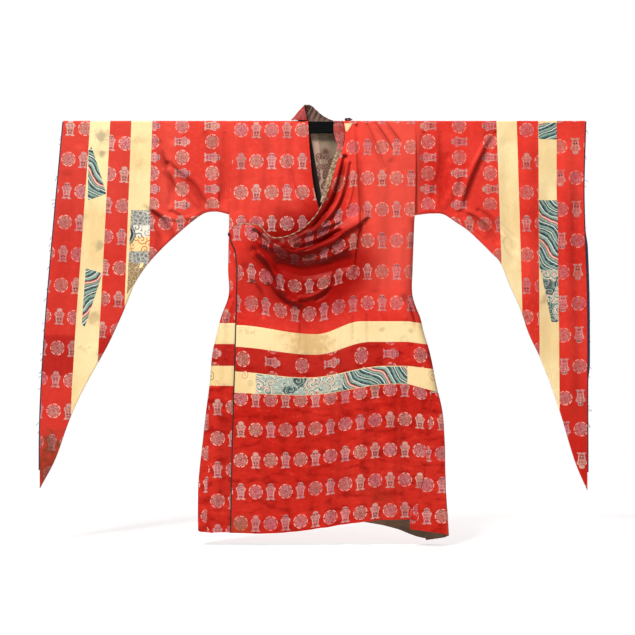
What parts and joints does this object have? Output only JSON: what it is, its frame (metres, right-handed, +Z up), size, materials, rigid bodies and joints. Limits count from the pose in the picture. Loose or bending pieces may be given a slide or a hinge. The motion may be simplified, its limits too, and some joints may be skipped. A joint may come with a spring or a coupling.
{
  "type": "cham dance robe hung on a flat rod",
  "caption": "Long lapped robe with winged sleeves, cream bands and embroidered patches, hung by its sleeves on a flat black rod.",
  "frame": {"origin": "middle of the rod, where it is held", "axes": "+Z up, +X along the rod to the right as seen from the front, front towards -Y"},
  "size_m": [1.7879, 0.0781, 1.424],
  "materials": {
    "red_silk": "patterned silk damask with a soft sheen",
    "cream_silk": "plain satin with a soft sheen",
    "embroidery": "matt silk embroidery",
    "tan_lining": "matt printed cotton",
    "navy_lining": "matt cotton",
    "black_piping": "matt cord",
    "maroon_cord": "knotted matt cord",
    "black_bar": "black satin paint"
  },
  "bodies": {
    "root": {"back_chest": "red_silk", "back_lower_band": "cream_silk", "back_middle_band": "red_silk", "back_skirt": "red_silk", "back_upper_band": "cream_silk", "bar": "black_bar", "collar": "red_silk", "flap_piping": "black_piping", "inner_front_chest": "red_silk", "inner_front_lower_band": "cream_silk", "inner_front_middle_band": "red_silk", "inner_front_skirt": "red_silk", "inner_front_upper_band": "cream_silk", "inner_neckband": "red_silk", "left_brocade_scrap": "embroidery", "left_cuff_lining": "navy_lining", "left_gore": "red_silk", "left_sleeve_cream_inner": "cream_silk", "left_sleeve_cream_outer": "cream_silk", "left_sleeve_cuff": "red_silk", "left_sleeve_gusset": "red_silk", "left_sleeve_red_middle": "red_silk", "left_sleeve_upper": "red_silk", "left_wave_scrap_lower": "embroidery", "left_wave_scrap_upper": "embroidery", "loop_tab": "cream_silk", "neck_piping": "tan_lining", "outer_front_chest": "red_silk", "outer_front_lower_band": "cream_silk", "outer_front_middle_band": "red_silk", "outer_front_skirt": "red_silk", "outer_front_upper_band": "cream_silk", "outer_neckband": "red_silk", "right_cloud_scrap": "embroidery", "right_cuff_lining": "navy_lining", "right_gore": "red_silk", "right_sleeve_cream_inner": "cream_silk", "right_sleeve_cream_outer": "cream_silk", "right_sleeve_cuff": "red_silk", "right_sleeve_gusset": "red_silk", "right_sleeve_red_middle": "red_silk", "right_sleeve_upper": "red_silk", "right_wave_scrap_lower": "embroidery", "right_wave_scrap_upper": "embroidery", "shoulder_knot": "maroon_cord", "side_knot": "maroon_cord", "skirt_cloud_scrap": "embroidery", "skirt_wave_scrap": "embroidery"}
  },
  "joints": []
}
